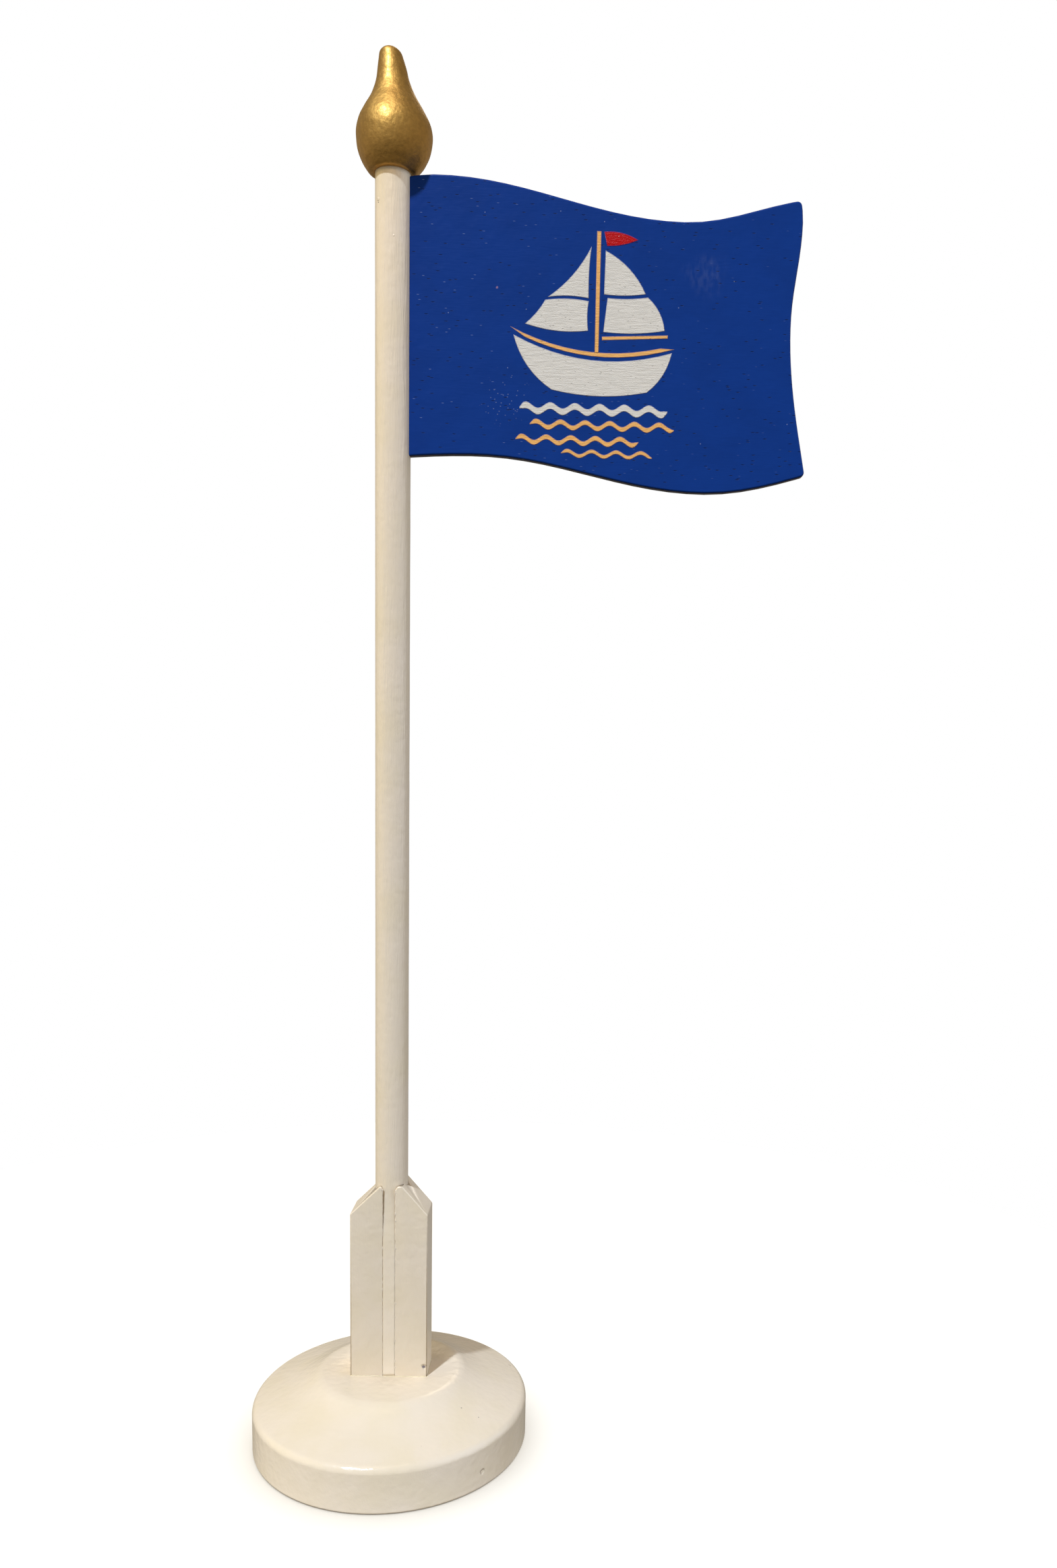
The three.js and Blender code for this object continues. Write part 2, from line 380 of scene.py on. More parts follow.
def spots(tree, where, cell_mm, radius, share, most=1.0, dimensions="3D"):
    """Round spots in a share of the cells of size cell_mm; radius is a share of a cell."""
    cells = add_node(
        tree, "ShaderNodeTexVoronoi", {"Vector": where, "Scale": per(cell_mm)},
        voronoi_dimensions=dimensions,
    )
    # A cell's colour follows where its spot lies. Chosen by the colour alone, the spots would line
    # up, so the chance is what is left after the point of the colour times a large number.
    scramble = 53.0
    red = add_node(tree, "ShaderNodeSeparateColor", {"Color": cells.outputs["Color"]}).outputs["Red"]
    scrambled = add_node(tree, "ShaderNodeMath", {0: red, 1: scramble}, operation="MULTIPLY").outputs[0]
    chance = add_node(tree, "ShaderNodeMath", {0: scrambled}, operation="FRACT").outputs[0]
    chosen = add_node(tree, "ShaderNodeMath", {0: chance, 1: share}, operation="LESS_THAN").outputs[0]
    shown = add_node(tree, "ShaderNodeMath", {0: chosen, 1: most}, operation="MULTIPLY").outputs[0]
    return add_node(
        tree, "ShaderNodeMapRange",
        {"Value": cells.outputs["Distance"], "From Min": radius, "From Max": radius * 0.4, "To Max": shown},
        interpolation_type="SMOOTHSTEP",
    ).outputs["Result"]


def blot(tree, where, centre_mm, radius_mm, most=1.0):
    """One ragged spot round a point: `most` inside, 0 outside."""
    radius = radius_mm * MM
    ragged = add_node(
        tree, "ShaderNodeTexNoise", {"Vector": where, "Scale": per(radius_mm), "Detail": 3.0}
    ).outputs["Fac"]
    middle = tuple(value * MM for value in centre_mm)
    away = add_node(tree, "ShaderNodeVectorMath", {0: where, 1: middle}, operation="DISTANCE")
    # The noise is about 0.5, so half a radius is added to the distance and the edge is ragged.
    edge = add_node(
        tree, "ShaderNodeMath", {0: ragged, 1: radius, 2: away.outputs["Value"]}, operation="MULTIPLY_ADD"
    ).outputs[0]
    return add_node(
        tree, "ShaderNodeMapRange",
        {"Value": edge, "From Min": 1.5 * radius, "From Max": 0.9 * radius, "To Max": most},
        interpolation_type="SMOOTHSTEP",
    ).outputs["Result"]


def own_place(tree, scale=(1, 1, 1), location_mm=(0, 0, 0), tilt=0.0):
    """The piece's own coordinates, scaled, tilted about X and shifted."""
    source = add_node(tree, "ShaderNodeTexCoord").outputs["Object"]
    shift = tuple(value * MM for value in location_mm)
    return add_node(
        tree, "ShaderNodeMapping",
        {"Vector": source, "Scale": scale, "Location": shift, "Rotation": (tilt, 0, 0)},
    ).outputs["Vector"]


def face_spots(tree, stretch, shift_mm, cell_mm, radius, share, most=1.0):
    """Spots on the board's upright faces, stretched along the wood's grain."""
    where = own_place(tree, (1 / stretch, 1, 1), (shift_mm, shift_mm, 0), tilt=math.pi / 2)
    return spots(tree, where, cell_mm, radius, share, most, "2D")


def enamel_white(name, grain, grain_depth_mm, peel_depth_mm, roughness, hollows=()):
    """Alkyd enamel, brushed on sealed wood.

    It gives a warm gloss with orange peel, the wood's grain faintly under it, dust nibs and pits,
    the pits painted dark as painted shade. `grain` is the scale that stretches the grain along the
    wood. Hollows are single faults, as (centre in millimetres, radius, depth, share of the dark
    colour: exposed wood in a chip, painted shade in a pinhole); one of negative depth stands proud.
    """
    paint = settings().paint
    # Distances in millimetres: clouds of thicker paint, waves of orange peel, and grain.
    cloud_mm, peel_mm, grain_mm = 14, 2.4, 0.45
    # Pits are 0.5 mm across and dust nibs 0.7 mm.
    pit_cell_mm, pit_radius, nib_cell_mm, nib_radius = 9, 0.026, 5, 0.07
    material, tree = new_material(name)
    where = own_place(tree)
    elsewhere = own_place(tree, location_mm=(500, 500, 500))
    pits = spots(tree, where, pit_cell_mm, pit_radius, share=0.22)
    nibs = spots(tree, elsewhere, nib_cell_mm, nib_radius, share=0.2)
    layers = [
        (paint.yellowed, patches(tree, where, cloud_mm, low=0.35, high=0.75, most=0.35)),
        # The pits are painted dark, as painted shade inside them.
        (paint.bare_and_shade, pits),
    ]
    steps = [
        (patches(tree, where, peel_mm, low=0.2, high=0.8, detail=1.0), peel_depth_mm),
        (patches(tree, own_place(tree, grain), grain_mm, low=0.2, high=0.8, detail=3.0), grain_depth_mm),
        (nibs, 0.05),
        (pits, -0.08),
    ]
    # Each hollow's dark share is exposed wood in a chip, or painted shade in a pinhole or beside a nib.
    for centre_mm, radius_mm, depth_mm, bare_and_shade_share in hollows:
        layers.append((paint.bare_and_shade, blot(tree, where, centre_mm, radius_mm * 0.8, bare_and_shade_share)))
        steps.append((blot(tree, where, centre_mm, radius_mm), -depth_mm))
    tone = overlay(tree, paint.white, layers)
    finish_material(tree, tone, roughness, ior=1.5, normal=relief(tree, steps))
    return material


def enamel_bead(name, colour_value, roughness, pinholes):
    """A bead of the same enamel in a joint: lumpy, with pinholes in a share of its places, painted dark as
    painted shade.
    """
    cloud_mm, lump_mm, hole_cell_mm = 1.2, 0.8, 2.2
    material, tree = new_material(name)
    where = own_place(tree)
    shade = [channel * 0.84 for channel in colour_value]
    holes = spots(tree, where, hole_cell_mm, radius=0.2, share=pinholes)
    tone = overlay(tree, colour_value, [
        (shade, patches(tree, where, cloud_mm, low=0.3, high=0.7)),
        # The pinholes are painted dark, as painted shade inside them.
        (settings().paint.bare_and_shade, holes),
    ])
    lumps = patches(tree, where, lump_mm, low=0.2, high=0.8)
    finish_material(tree, tone, roughness, ior=1.5, normal=relief(tree, [(lumps, 0.04), (holes, -0.1)]))
    return material


def enamel_blue():
    """Satin enamel on a thin board.

    Pores of the wood show as short dents along the grain, painted dark as painted shade, with
    painted highlights as glints among them, and handling has left a scuff and a worn place; the
    sawn edges are painted dark: the paint is thin there, and the rest is painted shade.
    """
    paint = settings().paint
    front = -FLAG_FACE / MM
    cloud_mm, peel_mm, grain_mm = 12, 3.0, 0.5
    # How far in from the faces the edge's dark colour, thin paint with painted shade, starts, and where it
    # is fully seen.
    edge_starts, edge_full = 0.1 * MM, 0.45 * MM
    material, tree = new_material("satin_blue_enamel")
    where = own_place(tree)
    # Pores are drawn 0.2 mm high and 1.4 mm long, about twice as coarse as real, so that they show; their
    # dark colour is painted shade.
    pores = face_spots(tree, stretch=6, shift_mm=0, cell_mm=0.9, radius=0.13, share=0.22)
    # Painted highlights: pale dashes that stand for light caught at the pores.
    glints = face_spots(tree, stretch=5, shift_mm=7.7, cell_mm=1.2, radius=0.08, share=0.14, most=0.4)
    specks = face_spots(tree, stretch=1, shift_mm=90, cell_mm=11, radius=0.02, share=0.2, most=0.5)
    along = add_node(tree, "ShaderNodeSeparateXYZ", {"Vector": where})
    # The painted glints (highlights) are commonest near the pole and die out towards the fly.
    fade = {"From Min": 8 * MM, "From Max": 75 * MM, "To Min": 1.0, "To Max": 0.25}
    near_pole = add_node(
        tree, "ShaderNodeMapRange", {"Value": along.outputs["X"], **fade}
    ).outputs["Result"]
    shown = add_node(tree, "ShaderNodeMath", {0: glints, 1: near_pole}, operation="MULTIPLY").outputs[0]
    depth = add_node(tree, "ShaderNodeMath", {0: along.outputs["Y"]}, operation="ABSOLUTE").outputs[0]
    thin_and_shaded_edge = add_node(
        tree, "ShaderNodeMapRange",
        {"Value": depth, "From Min": FLAG_FACE - edge_starts, "From Max": FLAG_FACE - edge_full},
    ).outputs["Result"]
    scuff_place = (FLAG_HIGH.x / MM - 30, front, FLAG_HIGH.z / MM - 24)
    scuff = add_node(tree, "ShaderNodeMath", {
        0: blot(tree, where, scuff_place, radius_mm=8, most=0.1),
        1: patches(tree, own_place(tree, (1, 1, 0.4)), 1.3, low=0.35, high=0.75, detail=5.0),
    }, operation="MULTIPLY").outputs[0]
    worn = add_node(tree, "ShaderNodeMath", {
        0: blot(tree, where, (32, front, FLAG_LOW.z / MM + 24), radius_mm=9, most=0.6),
        1: face_spots(tree, stretch=1.3, shift_mm=0, cell_mm=0.9, radius=0.2, share=0.3),
    }, operation="MULTIPLY").outputs[0]
    darker = [channel * 0.93 for channel in paint.blue]
    tone = overlay(tree, paint.blue, [
        (darker, patches(tree, where, cloud_mm, low=0.35, high=0.7)),
        # Painted shade in the pores.
        (srgb("#08183F"), pores),
        # Painted highlights of the glints.
        (srgb("#9FB0D8"), shown),
        (srgb("#8E9CC4"), specks),
        (srgb("#8290B4"), scuff),
        (srgb("#7C88AE"), worn),
        (srgb("#B98C9E"), blot(tree, where, (29.2, front, 344.8), radius_mm=0.4, most=0.6)),
        # The sawn edges are painted dark: thin paint and painted shade.
        (paint.thin_and_shaded_blue, thin_and_shaded_edge),
    ])
    grain = patches(tree, own_place(tree, BOARD_GRAIN), grain_mm, low=0.2, high=0.8, detail=3.0)
    peel = patches(tree, where, peel_mm, low=0.2, high=0.8, detail=1.0)
    normal = relief(tree, [(peel, 0.04), (grain, 0.012), (pores, -0.05)])
    finish_material(tree, tone, 0.38, ior=1.5, specular_ior_level=0.11, normal=normal)
    return material


def screen_ink(name, colour_value, roughness, speckle):
    """Matt screen-printed ink: it follows the grain, breaks at the pores, whose darkness is painted shade,
    and shows the screen.

    `speckle` is the share of places where a spot of white shows through.
    """
    paint = settings().paint
    streak_mm = 0.35
    # A real screen's mesh is about 0.1 mm; it is drawn three times as coarse, so that it shows.
    mesh_mm = 0.3
    material, tree = new_material(name)
    where = own_place(tree)
    streaks = patches(tree, own_place(tree, BOARD_GRAIN), streak_mm, low=0.3, high=0.7, detail=3.0)
    pores = face_spots(tree, stretch=2.2, shift_mm=1.7, cell_mm=1.3, radius=0.12, share=0.3, most=0.45)
    weave = patches(tree, where, mesh_mm, low=0.3, high=0.7)
    shade = [channel * 0.8 for channel in colour_value]
    faint = add_node(tree, "ShaderNodeMath", {0: streaks, 1: 0.45}, operation="MULTIPLY").outputs[0]
    tone = overlay(tree, colour_value, [
        (shade, faint),
        # Painted shade in the pores.
        ([channel * 0.25 for channel in colour_value], pores),
        (paint.ink_white, face_spots(tree, stretch=1, shift_mm=0, cell_mm=0.9, radius=0.14, share=speckle)),
    ])
    normal = relief(tree, [(streaks, 0.04), (weave, 0.03), (pores, -0.06)])
    finish_material(tree, tone, roughness, ior=1.5, specular_ior_level=0.2, normal=normal)
    return material


def bronze_gold():
    """Gold bronze paint on turned wood.

    Metal flakes in lacquer give a soft, broad glow; the lacquer crinkled finely as it dried.
    """
    paint = settings().paint
    crinkle_mm, nib_cell_mm, wave_mm = 0.9, 1.7, 3.2
    material, tree = new_material("gold_bronze_paint")
    where = own_place(tree)
    crinkle = patches(tree, where, crinkle_mm, low=0.2, high=0.8, detail=3.0)
    nibs = spots(tree, where, nib_cell_mm, radius=0.12, share=0.22)
    shade = [channel * 0.8 for channel in paint.gold]
    tone = overlay(tree, shade, [(paint.gold, crinkle)])
    normal = relief(tree, [
        (patches(tree, where, wave_mm, low=0.2, high=0.8, detail=1.0), 0.1),
        (crinkle, 0.045),
        (nibs, 0.03),
    ])
    finish_material(
        tree, tone, 0.54, metallic=1.0, coat_weight=0.2, coat_roughness=0.25,
        normal=normal, coat_normal=normal,
    )
    return material


# ---- Base disc -------------------------------------------------------------------------


class TABLEFLAG_OT_base(bpy.types.Operator):
    """Build the turned base disc with its rounded rim, cone, shoulder and seat"""

    bl_idname = "table_flag.base"
    bl_label = "Base disc"

    def execute(self, context):
        size = settings().base
        hole = POLE_RADIUS + HIDDEN_GAP
        outline = [
            (0, 0),
            (BASE_RADIUS, 0),
            (BASE_RADIUS, size.wall_height),
            (size.shoulder_radius, SEAT - size.shoulder_drop),
            (size.seat_radius, SEAT),
            (hole, SEAT),
            (hole, POLE_LOW.z),
            (0, POLE_LOW.z),
        ]
        roundings = [(1, size.foot_run), (2, size.rim_run), (3, size.shoulder_run), (4, size.seat_run)]
        bm = turned(outline, 160, roundings)
        piece = new_object(bm, "base_disc_painted", [
            enamel_white("gloss_enamel_on_base", (1, 1, 1), 0.012, 0.065, 0.2, [
                ((31.3, -28.7, 5.2), 1.1, 0.35, 0.0),
                ((36.3, 16.3, 14.7), 0.6, -0.2, 0.0),
                ((23.8, -16.8, 18.4), 0.3, 0.1, 0.7),
                ((29.2, -18.6, 16.5), 0.25, 0.1, 0.7),
            ]),
        ])
        keep_flats(piece)
        stand_for(piece, "white_paint", "base_disc")
        return {"FINISHED"}


# ---- Pole ------------------------------------------------------------------------------


class TABLEFLAG_OT_pole(bpy.types.Operator):
    """Build the round pole with the slight waves of brushed paint"""

    bl_idname = "table_flag.pole"
    bl_label = "Pole"

    def execute(self, context):
        size = settings().pole
        # Waves to the metre in the brushed paint.
        waves_across, waves_along = 120, 60
        rings = round((POLE_HIGH.z - POLE_LOW.z) / size.ring_spacing)
        heights = [POLE_LOW.z + (POLE_HIGH.z - POLE_LOW.z) * ring / rings for ring in range(rings + 1)]
        outline = [(0, heights[0]), *((POLE_RADIUS, height) for height in heights), (0, heights[-1])]
        bm = turned(outline, 64)
        for vertex in bm.verts:
            across = Vector((vertex.co.x, vertex.co.y, 0))
            if across.length > POLE_RADIUS / 2:
                lump = noise.noise(across * waves_across + Vector((0, 0, vertex.co.z * waves_along)))
                vertex.co -= across.normalized() * size.waviness * abs(lump)
        piece = new_object(bm, "pole_painted", [
            enamel_white("gloss_enamel_on_pole", (1, 1, 0.07), 0.065, 0.05, 0.3, [
                ((-3.6, -3.5, 366), 0.6, -0.12, 0.0),
                ((-3.6, -3.6, 365), 0.3, 0.1, 0.6),
            ]),
        ])
        stand_for(piece, "white_paint", "pole")
        return {"FINISHED"}


# ---- Cheeks ----------------------------------------------------------------------------


def cheek(side, low, high, top_flat):
    """One cheek: a section with a cove for the pole, raised, then cut and rounded."""
    size = settings().cheek
    inner, outer, half_depth = CHEEK_LOW.x, CHEEK_HIGH.x, high.y
    bm = bmesh.new()
    cove_start = math.acos(inner / POLE_RADIUS)
    steps = 12
    section = [(inner, -half_depth), (outer, -half_depth), (outer, half_depth), (inner, half_depth)]
    for step in range(steps + 1):
        angle = cove_start * (1 - 2 * step / steps)
        section.append((POLE_RADIUS * math.cos(angle), POLE_RADIUS * math.sin(angle)))
    foot = bm.faces.new([bm.verts.new((side * x, y, low.z)) for x, y in section])
    raised = bmesh.ops.extrude_face_region(bm, geom=[foot])["geom"]
    lifted = [item for item in raised if isinstance(item, bmesh.types.BMVert)]
    bmesh.ops.translate(bm, verts=lifted, vec=(0, 0, high.z - low.z))
    chamfer_run = outer - inner - top_flat
    cuts = [(Vector((inner + top_flat, 0, high.z)), Vector((size.chamfer_drop, 0, chamfer_run)))]
    # The corner next to the pole is rounded by three cuts, square to three directions of its arc.
    corner = Vector((inner + size.corner_round, 0, high.z - size.corner_round))
    for share in (1, 2, 3):
        angle = share * math.pi / 8
        outward = Vector((-math.cos(angle), 0, math.sin(angle)))
        cuts.append((corner + size.corner_round * outward, outward))
    for point, normal in cuts:
        point.x *= side
        normal.x *= side
        bmesh.ops.bisect_plane(
            bm, geom=bm.verts[:] + bm.edges[:] + bm.faces[:],
            plane_co=point, plane_no=normal, clear_outer=True,
        )
        bmesh.ops.holes_fill(bm, edges=[edge for edge in bm.edges if edge.is_boundary])
    close(bm)
    # Paint rounds every sharp edge but those of the cove, the foot and the face next to the pole.
    sharp = [
        edge for edge in bm.edges
        if edge.calc_face_angle(0) > math.radians(35)
        and all(abs(v.co.x) ** 2 + v.co.y ** 2 > (POLE_RADIUS * 1.02) ** 2 for v in edge.verts)
        and any(v.co.z > low.z + 0.1 * MM for v in edge.verts)
        and any(abs(v.co.x) > inner + 0.01 * MM for v in edge.verts)
    ]
    round_edges(bm, sharp, size.edge_round)
    close(bm)
    return bm


class TABLEFLAG_OT_cheeks(bpy.types.Operator):
    """Build the two cheeks that grip the foot of the pole"""

    bl_idname = "table_flag.cheeks"
    bl_label = "Cheeks"

    def execute(self, context):
        size = settings().cheek
        enamel = enamel_white("gloss_enamel_on_cheeks", (1, 1, 0.1), 0.014, 0.07, 0.28, [
            ((10.95, -CHEEK_HIGH.y / MM, 25.6), 0.95, 0.25, 0.95),
            ((9.2, -4, 81), 0.5, 0.15, 0.0),
        ])
        for name, side, low, high, top_flat in (
            ("cheek_left", -1, CHEEK_LEFT_LOW, CHEEK_LEFT_HIGH, size.top_flat_left),
            ("cheek_right", 1, CHEEK_LOW, CHEEK_HIGH, size.top_flat_right),
        ):
            piece = new_object(cheek(side, low, high, top_flat), name + "_painted", [enamel])
            keep_flats(piece)
            stand_for(piece, "white_paint", name)
        return {"FINISHED"}


# ---- Paint beads -----------------------------------------------------------------------


def filler_strip(front):
    """The filler that brings the pole flush with the cheeks between them, thinning at its top."""
    gap = settings().pole.strip_gap
    left, right = -CHEEK_LOW.x + gap, CHEEK_LOW.x - gap / 2
    back = -math.sqrt(POLE_RADIUS ** 2 - CHEEK_LOW.x ** 2) + 0.1 * MM
    face_depth = front + 0.04 * MM
    # At its top the strip ends this far inside the pole.
    sunk = 0.03 * MM
    # How uneven its face is, and the waves to the metre.
    unevenness, waves = 0.012 * MM, 300
    # The strip thins over this many of the 1 mm steps that it is raised by.
    thinning_steps = 20
    across = 8
    section = [(left + (right - left) * step / across, face_depth) for step in range(across + 1)]
    bm = bmesh.new()
    outline = [bm.verts.new((x, y, SEAT)) for x, y in [*section, (right, back), (left, back)]]
    bm.faces.new(outline)
    spacing = MM
    count = round((CHEEK_HIGH.z - SEAT) / spacing)
    top = bm.faces[:]
    for step in range(1, count + 1):
        raised = bmesh.ops.extrude_face_region(bm, geom=top)["geom"]
        if step > 1:
            bmesh.ops.delete(bm, geom=top, context="FACES_ONLY")
        top = [item for item in raised if isinstance(item, bmesh.types.BMFace)]
        lifted = [item for item in raised if isinstance(item, bmesh.types.BMVert)]
        bmesh.ops.translate(bm, verts=lifted, vec=(0, 0, spacing))
        share = max(0.0, 1 - (count - step) / thinning_steps)
        thinning = share ** 2 * (3 - 2 * share)
        for vertex in lifted:
            if vertex.co.y < back - 0.1 * MM:
                under_face = -math.sqrt(POLE_RADIUS ** 2 - vertex.co.x ** 2) + sunk
                lump = noise.noise(vertex.co * waves) * unevenness
                vertex.co.y = face_depth + lump + (under_face - face_depth) * thinning
    close(bm)
    return bm


class TABLEFLAG_OT_beads(bpy.types.Operator):
    """Build the beads of paint that fill the joints"""

    bl_idname = "table_flag.beads"
    bl_label = "Paint beads"

    def execute(self, context):
        paint = settings().paint
        radius = settings().pole.bead
        white = enamel_bead("enamel_bead", paint.white, 0.3, 0.12)
        pooled = enamel_bead("pooled_enamel", paint.yellowed, 0.25, 0.0)
        front = -CHEEK_HIGH.y
        enamel = bpy.data.materials["gloss_enamel_on_cheeks"]
        stand_for(new_object(filler_strip(front), "filler_strip", [enamel]), "white_paint")
        spacing = 0.5 * MM
        count = round((CHEEK_HIGH.z - SEAT - MM) / spacing)
        # Lumps to each step along a seam, and to the metre along the foot.
        seam_lumps, foot_lumps = 0.45, 700
        # Each seam's bead lies `depth` radii behind the cheeks' front and comes and goes by `swing`.
        seams = (("seam_bead_left", -1, 1.6, 1.6), ("seam_bead_right", 1, 1.3, 1.8))
        for name, side, depth, swing in seams:
            points, radii = [], []
            for step in range(count + 1):
                height = SEAT + spacing * step
                lump = noise.noise(Vector((side * 3, 0, step * seam_lumps)))
                points.append((side * CHEEK_LOW.x, front + radius * (depth - swing * lump), height))
                radii.append(radius * (1 + 0.6 * lump))
            stand_for(tube(name, points, radii, white), "white_paint")
        half_x, half_y = CHEEK_HIGH.x, CHEEK_HIGH.y
        corners = [(-half_x, -half_y), (half_x, -half_y), (half_x, half_y), (-half_x, half_y)]
        points = []
        for start, end in zip(corners, corners[1:] + corners[:1]):
            pieces = round(math.dist(start, end) / MM)
            start, end = Vector((*start, SEAT)), Vector((*end, SEAT))
            points += [start.lerp(end, step / pieces) for step in range(pieces)]
        radii = [radius * 0.8 * (1 + 0.6 * noise.noise(point * foot_lumps)) for point in points]
        stand_for(tube("foot_bead", points, radii, pooled, closed=True), "white_paint")
        return {"FINISHED"}


# ---- Flag board ------------------------------------------------------------------------


class TABLEFLAG_OT_flag(bpy.types.Operator):
    """Build the flag board with its rounded, painted edges"""

    bl_idname = "table_flag.flag"
    bl_label = "Flag board"

    def execute(self, context):
        bm = bmesh.new()
        bm.from_mesh(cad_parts["flag_board"].data)
        bmesh.ops.remove_doubles(bm, verts=bm.verts, dist=WELD)
        bmesh.ops.dissolve_limit(bm, angle_limit=math.radians(0.5), verts=bm.verts, edges=bm.edges)
        rim = [
            edge for edge in bm.edges
            if edge.calc_face_angle(0) > math.radians(60)
            and abs(edge.verts[0].co.y - edge.verts[1].co.y) < 0.1 * MM
        ]
        round_edges(bm, rim, settings().flag.edge_round)
        piece = new_object(bm, "flag_board_painted", [enamel_blue()])
        keep_flats(piece)
        stand_for(piece, "blue_paint", "flag_board")
        return {"FINISHED"}


# ---- Print -----------------------------------------------------------------------------

# The print is a small sailing boat on four rows of waves, in millimetres from its centre, which
# lies a little lower and nearer the pole than the board's middle.
BOARD_MIDDLE = Vector((FLAG_LOW.x + FLAG_HIGH.x, FLAG_LOW.z + FLAG_HIGH.z)) / 2
PRINT_CENTRE = Vector((-2.6, -2.0)) * MM + BOARD_MIDDLE


def arc(start, end, bulge, steps=12):
    """Points from start to end along a parabola that stands off the chord by bulge."""
    (x0, z0), (x1, z1) = start, end
    across = Vector((z0 - z1, x1 - x0)).normalized() * bulge
    points = []
    for step in range(steps):
        share = step / steps
        lift = 4 * share * (1 - share)
        points.append((x0 + (x1 - x0) * share + across.x * lift, z0 + (z1 - z0) * share + across.y * lift))
    return points


def ribbon(left, right, height, width, swing, pitch):
    """A wavy band from left to right."""
    count = round((right - left) * 2)
    upper, lower = [], []
    for step in range(count + 1):
        x = left + (right - left) * step / count
        middle = height + swing * math.sin(2 * math.pi * (x - left) / pitch)
        taper = width / 2 * min(1, 0.25 + min(x - left, right - x) / 1.5)
        upper.append((x, middle + taper))
        lower.append((x, middle - taper))
    return upper + lower[::-1]


def print_shapes():
    """Closed outlines of the print, by ink."""
    mast = [(-0.1, -2.2), (1.1, -2.2), (1.1, 30), (-0.1, 30)]
    boom = [(1.9, 1.2), (20.5, 2.2), (20.5, 3.1), (1.9, 2.2)]
    gunwale = arc((-24, 4.2), (22.5, 0.6), -4.4) + arc((22.5, -0.6), (-23.4, 3.0), 4.4)
    hull = arc((-23.0, 2.0), (21.8, -1.6), -4.4) + arc((21.8, -1.6), (15, -12.5), 1.2, 6)
    hull += arc((15, -12.5), (-12, -12.5), 1.4) + arc((-12, -12.5), (-23.0, 2.0), 1.8, 8)
    jib_low = arc((-19.8, 5.0), (-2.0, 3.6), -1.0) + arc((-2.0, 3.6), (-2.0, 11.5), 0.3, 4) + arc(
        (-2.0, 11.5), (-14.2, 11.5), -0.5) + arc((-14.2, 11.5), (-19.8, 5.0), 0.4, 4)
    jib_high = arc((-13.6, 12.2), (-2.0, 12.2), 0.5) + arc((-2.0, 12.2), (-1.5, 26.0), 0.3, 6) + arc(
        (-1.5, 26.0), (-13.6, 12.2), 1.2, 8)
    main_low = arc((2.2, 3.4), (19.6, 4.2), -0.6) + arc((19.6, 4.2), (14.6, 13.0), -1.0, 6) + arc(
        (14.6, 13.0), (2.2, 12.6), 0.4)
    main_high = arc((2.2, 13.4), (14.0, 13.8), -0.4) + arc((14.0, 13.8), (2.4, 25.0), -1.4, 8) + arc(
        (2.4, 25.0), (2.2, 13.4), 0.0, 6)
    pennant = arc((1.9, 29.9), (11.5, 28.0), 0.8) + arc((11.5, 28.0), (1.9, 26.2), 0.6)
    return {
        "white": [hull, jib_low, jib_high, main_low, main_high, ribbon(-21, 21, -17.6, 1.9, 0.8, 7)],
        "ochre": [
            mast, boom, gunwale, ribbon(-18, 23, -21.9, 1.4, 0.8, 7), ribbon(-22, 13, -26.1, 1.4, 0.8, 7),
            ribbon(-9, 17, -29.6, 1.1, 0.7, 7),
        ],
        "red": [pennant],
    }


def ink_film(name, outlines, side, materials):
    """A film of ink on one face of the board, thinning at its edge."""
    size = settings().flag
    face_y = side * (FLAG_FACE + size.film)
    bm = bmesh.new()
    for outline in outlines:
        ring = []
        for x, z in outline:
            ring.append(bm.verts.new((PRINT_CENTRE.x + x * MM, face_y, PRINT_CENTRE.y + z * MM)))
        edges = [bm.edges.new((start, end)) for start, end in zip(ring, ring[1:] + ring[:1])]
        bmesh.ops.triangle_fill(bm, edges=edges, use_beauty=True, use_dissolve=False)
    bmesh.ops.recalc_face_normals(bm, faces=bm.faces)
    for face in bm.faces:
        if face.normal.y * side < 0:
            face.normal_flip()
    rim = bmesh.ops.inset_region(
        bm, faces=bm.faces, thickness=size.thin_edge, depth=0, use_boundary=True, use_even_offset=True
    )["faces"]
    for face in rim:
        face.material_index = 1
    raised = bmesh.ops.extrude_face_region(bm, geom=bm.faces[:])["geom"]
    sunk = [item for item in raised if isinstance(item, bmesh.types.BMVert)]
    bmesh.ops.translate(bm, verts=sunk, vec=(0, -side * 4 * size.film, 0))
    close(bm)
    piece = new_object(bm, name, materials)
    stand_for(piece, None)


class TABLEFLAG_OT_print(bpy.types.Operator):
    """Build the printed boat on both faces of the flag"""

    bl_idname = "table_flag.print"
    bl_label = "Print"

    def execute(self, context):
        paint = settings().paint
        inks = {
            "white": (paint.ink_white, 0.55, 0.0),
            "ochre": (paint.ink_ochre, 0.5, 0.0),
            "red": (paint.ink_red, 0.3, 0.06),
        }
        shapes = print_shapes()
        for ink, (tone, roughness, speckle) in inks.items():
            full = screen_ink(f"screen_ink_{ink}", tone, roughness, speckle)
            mixed = [0.45 * a + 0.55 * b for a, b in zip(tone, paint.blue)]
            thin = screen_ink(f"thin_ink_{ink}", mixed, roughness, 0.0)
            for face_name, side in (("front", -1), ("back", 1)):
                ink_film(f"print_{ink}_{face_name}", shapes[ink], side, [full, thin])
        return {"FINISHED"}


# ---- Finial ----------------------------------------------------------------------------

# Height above the finial's seat and radius, in millimetres, at the turning's key points.
FINIAL_KEYS = [
    (0, 5.6), (0.25, 6.5), (1.35, 7.5), (3.2, 8.8), (5.9, 9.95),
    (9.6, 10.5), (12.8, 9.95), (16, 8.35), (19.8, 6.15), (23.6, 4.65),
    (27, 3.95), (29.4, 3.35), (30.95, 2.9), (31.95, 1.9), (32.4, 0.8),
]


